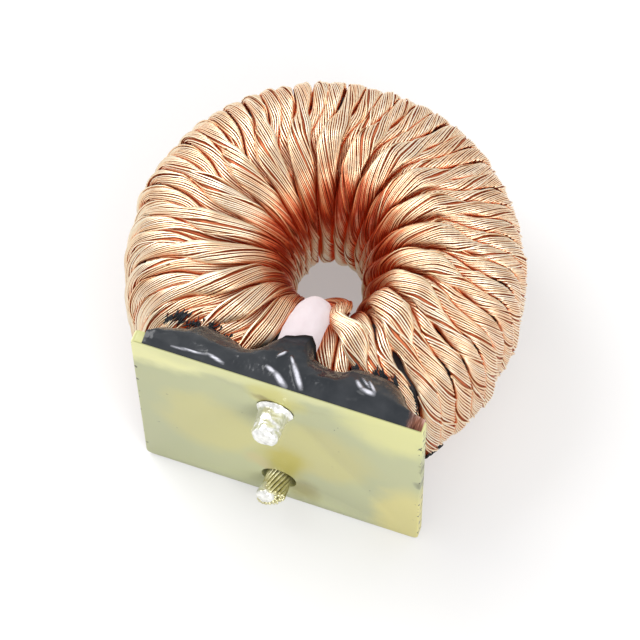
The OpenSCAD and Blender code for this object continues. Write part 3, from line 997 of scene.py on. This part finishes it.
laminate, tree, shader = finish_tree("laminate", {
    "Roughness": 0.42, "Subsurface Weight": 0.15, "Subsurface Scale": 1,
    "Subsurface Radius": (0.001, 0.001, 0.0006)})
place, x, _, z = from_ring(tree)
drift = vector_node(tree, "MULTIPLY", noise(tree, 180, 3).node.outputs["Color"], (5, 0, 5))
pushed = vector_node(tree, "SUBTRACT", vector_node(tree, "ADD", place, drift), (2.5, 0, 2.5))
# middle and half size of each patch in mm, softness of its edge, colour and strength
# the first four, along the upper edge and at its corners, are painted light coming through the
# board from behind; the last two darken the board's right end face
resin_and_painted_light_patches = [
    ((-16, 21.5), (12, 6.2), 0.25, (0.92, 0.9, 0.45), 0.9),
    ((-3, 21.5), (12, 3.8), 0.3, (0.74, 0.74, 0.38), 0.9),
    ((8, 21.2), (9, 2.4), 0.35, (0.7, 0.7, 0.37), 0.9),
    ((18, 18), (6, 6.6), 0.45, (0.74, 0.73, 0.33), 1),
    ((-6.5, 2.5), (6.8, 8), 0.3, (0.62, 0.59, 0.26), 1),
    ((8, 3.5), (7, 7), 0.3, (0.6, 0.57, 0.255), 1),
    ((20.5, -10), (4.8, 10), 0.35, (0.74, 0.67, 0.26), 1),
    ((3.2, -1.8), (3, 4.4), 0.55, (0.58, 0.51, 0.12), 0.9),
    ((2.4, 17), (3.4, 2.2), 0.5, (0.66, 0.62, 0.2), 0.9),
    ((-0.4, -5), (1.5, 1.6), 0.6, (0.6, 0.51, 0.24), 0.7),
    ((5.8, -10), (1.9, 3), 0.6, (0.36, 0.33, 0.13), 0.85),
    ((1.6, 15.9), (1.6, 0.5), 0.6, (0.3, 0.24, 0.09), 0.7),
    ((22.3, 8), (0.45, 2.2), 0.5, (0.2, 0.2, 0.1), 0.8),
    ((22.1, 3.6), (0.8, 1), 0.6, (0.16, 0.17, 0.1), 0.7)]
resin_and_painted_light = mixed(tree, noise(tree, 130, 3), (0.5, 0.53, 0.3), (0.55, 0.56, 0.31))
for centre, half, soft, colour, strength in resin_and_painted_light_patches:
    mask = times(tree, patch(tree, pushed, centre, half, soft), strength)
    resin_and_painted_light = mixed(tree, mask, resin_and_painted_light, colour)
# dark specks, most of them near the board's ends
from_middle = math_node(tree, "ABSOLUTE", plus(tree, x, -2.6))
specks = plus(tree, noise(tree, 1100, 2), remap(tree, from_middle, 18.2, 19.1, 0, 0.17))
resin_and_painted_light = mixed(tree, ramp(tree, specks, (0.75, 0), (0.79, 1)), resin_and_painted_light, (0.09, 0.09, 0.05))
# the glue leaves an olive line along the upper arris
resin_and_painted_light = mixed(tree, remap(tree, z, 20.25, 20.6, 0, 0.75), resin_and_painted_light, (0.3, 0.3, 0.1))
tree.links.new(resin_and_painted_light, shader.inputs["Base Color"])
bump(tree, shader, noise(tree, 2600, 2, 0.6, (1, 1, 0.06)), 0.12, 0.1)
dress(laminate, "board", board)
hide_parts("board")
print("laminate with", len(resin_and_painted_light_patches), "patches of resin and painted light")


# %% [markdown]
# ## The glue's finish
# Cured potting glue is nearly black and glossy. At its thin end the copper shows through as
# brown, and its folds get a painted highlight. Marks in the mesh say where its end and its folds
# are.

# %% Potting glue
potting, tree, shader = finish_tree("potting glue", {"Roughness": 0.2})
_, x, _, z = from_ring(tree)
body = ramp(tree, noise(tree, 300, 3), (0.35, (0.02, 0.023, 0.027)),
            (0.65, (0.034, 0.037, 0.042)))
edge, fold = (add(tree, "Attribute", attribute_name=mark).outputs["Fac"]
              for mark in ("crest", "fold"))
for start, stop, colour in ((0.88, 0.96, (0.02, 0.017, 0.016)),
                            (0.99, 0.998, (0.035, 0.014, 0.008))):
    body = mixed(tree, ramp(tree, edge, (start, 0), (stop, 1)), body, colour)
# over the right end the glue is a thin brown film with wires under it
ragged = plus(tree, x, times(tree, noise(tree, 700, 3), 1.5))
film = times(tree, remap(tree, ragged, 19.9, 21), remap(tree, z, 16.5, 18.5))
wires_under = ramp(tree, noise(tree, 2200, 2, 0.6, (1, 0.12, 0.12)), (0.35, (0.04, 0.012, 0.008)),
                   (0.5, (0.2, 0.08, 0.05)), (0.65, (0.5, 0.32, 0.27)))
body = mixed(tree, film, body, wires_under)
uneven = plus(tree, noise(tree, 1100, 4, 0.65), 0.5)
# a painted highlight: the folds' crests go pale grey as if they caught the lamp
painted_fold_highlight = ramp(tree, times(tree, fold, uneven), (0.2, 0), (0.5, 0.25), (0.82, 0.92))
tree.links.new(mixed(tree, painted_fold_highlight, body, (0.6, 0.6, 0.66)), shader.inputs["Base Color"])
# it is duller at its thin end on the winding and towards the right
gloss = ramp(tree, edge, (0.38, 1), (0.6, 0.16), (0.88, 0))
tree.links.new(times(tree, gloss, remap(tree, x, -4, 12, 0.32, 0.14)),
               shader.inputs["Specular IOR Level"])
bump(tree, shader, noise(tree, 700, 2), 0.12, 0.1)
dress(potting, "glue", glue, filler, spatter)
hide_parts("glue")
print("potting glue from", len(tree.nodes), "nodes")


# %% [markdown]
# ## Solder, strands, sleeve and core
# Solder is bright and grainy metal, and the flux turns the tinned strands brassy. Silicone is
# milky: light enters it and leaves it again, so it has subsurface scattering. Its faint glow is
# painted light that keeps it evenly bright. Only the core is the frame's own mesh, which gets a
# finish and is not changed.

# %% Solder, strands, sleeve and core
tin = plain_finish("solder", {"Metallic": 0.9, "Roughness": 0.32}, (1600, 4),
                   (0.3, (0.7, 0.7, 0.66)), (0.55, (0.93, 0.93, 0.9)),
                   grain=(1400, 4, 0.5, 0.2))
dress(tin, "solder", upper, blob)
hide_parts("upper_lead")
brass = plain_finish("tinned strands", {"Metallic": 0.9, "Roughness": 0.35}, (900, 4),
                     (0.3, (0.4, 0.36, 0.15)), (0.6, (0.8, 0.77, 0.5)))
dress(brass, "lead_strands", lower)
dress(copper, "copper", foot)
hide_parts("lower_lead")
# the silicone's glow is painted light that keeps the sleeve evenly bright
silicone = plain_finish("silicone", {
    "Roughness": 0.6, "Specular IOR Level": 0.3, "Emission Strength": 0.42,
    "Emission Color": (0.9, 0.79, 0.8, 1), "Subsurface Weight": 0.5, "Subsurface Scale": 1,
    "Subsurface Radius": (0.0024, 0.0018, 0.0018)}, (260, 4),
    (0.35, (0.345, 0.3, 0.315)), (0.65, (0.385, 0.345, 0.355)), grain=(900, 4, 0.2, 0.1))
dress(silicone, "sleeve", sleeve)
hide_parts("sleeve")
coat = plain_finish("core coat", {"Roughness": 0.45}, (500, 4), (0.35, (0.03, 0.03, 0.035)),
                    (0.65, (0.06, 0.06, 0.065)), grain=(1500, 3, 0.2, 0.2))
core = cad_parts["core"].data
core.materials.clear()
core.materials.append(coat)
print("slots of the core", len(core.materials))


# %% [markdown]
# ## Floor and light
# A plain pale floor under a white surround, a soft key lamp at the upper left and a weaker
# one at the right. Strong lamps would make the floor bright but wash out its shadows, so a
# faint glow that only the camera and mirrors see lifts it.

# %% Stage
bpy.ops.mesh.primitive_plane_add(size=4, location=(0, 0, -0.0002))
floor = bpy.context.object
floor.name = "floor"
paper, tree, shader = finish_tree("floor", {
    "Roughness": 0.9, "Specular IOR Level": 0.1, "Emission Color": (1, 0.985, 0.985, 1)})
rays = add(tree, "LightPath").outputs
seen = plus(tree, plus(tree, rays["Is Camera Ray"], rays["Is Glossy Ray"]),
            rays["Is Transmission Ray"])
tree.links.new(times(tree, seen, 0.34), shader.inputs["Emission Strength"])
tree.links.new(mixed(tree, seen, 0.3, 0.5), shader.inputs["Base Color"])
floor.data.materials.append(paper)

world = bpy.data.worlds.new("surround")
world.use_nodes = True
sky = world.node_tree.nodes["Background"].inputs
sky["Color"].default_value, sky["Strength"].default_value = (1, 1, 1, 1), 0.85
bpy.context.scene.world = world

for name, place, size, power in (("key", at(-230, 80, 300), 0.22, 1),
                                 ("fill", at(200, -220, 240), 0.2, 0.75)):
    data = bpy.data.lights.new(name, "AREA")
    data.shape, data.size, data.energy = "SQUARE", size, power
    light = new_object(name, data)
    light.location = place
    light.rotation_euler = (RING - place).to_track_quat("-Z", "Y").to_euler()
bpy.context.scene.view_settings.view_transform = "Standard"
print("stage with", len(bpy.data.lights), "lamps")
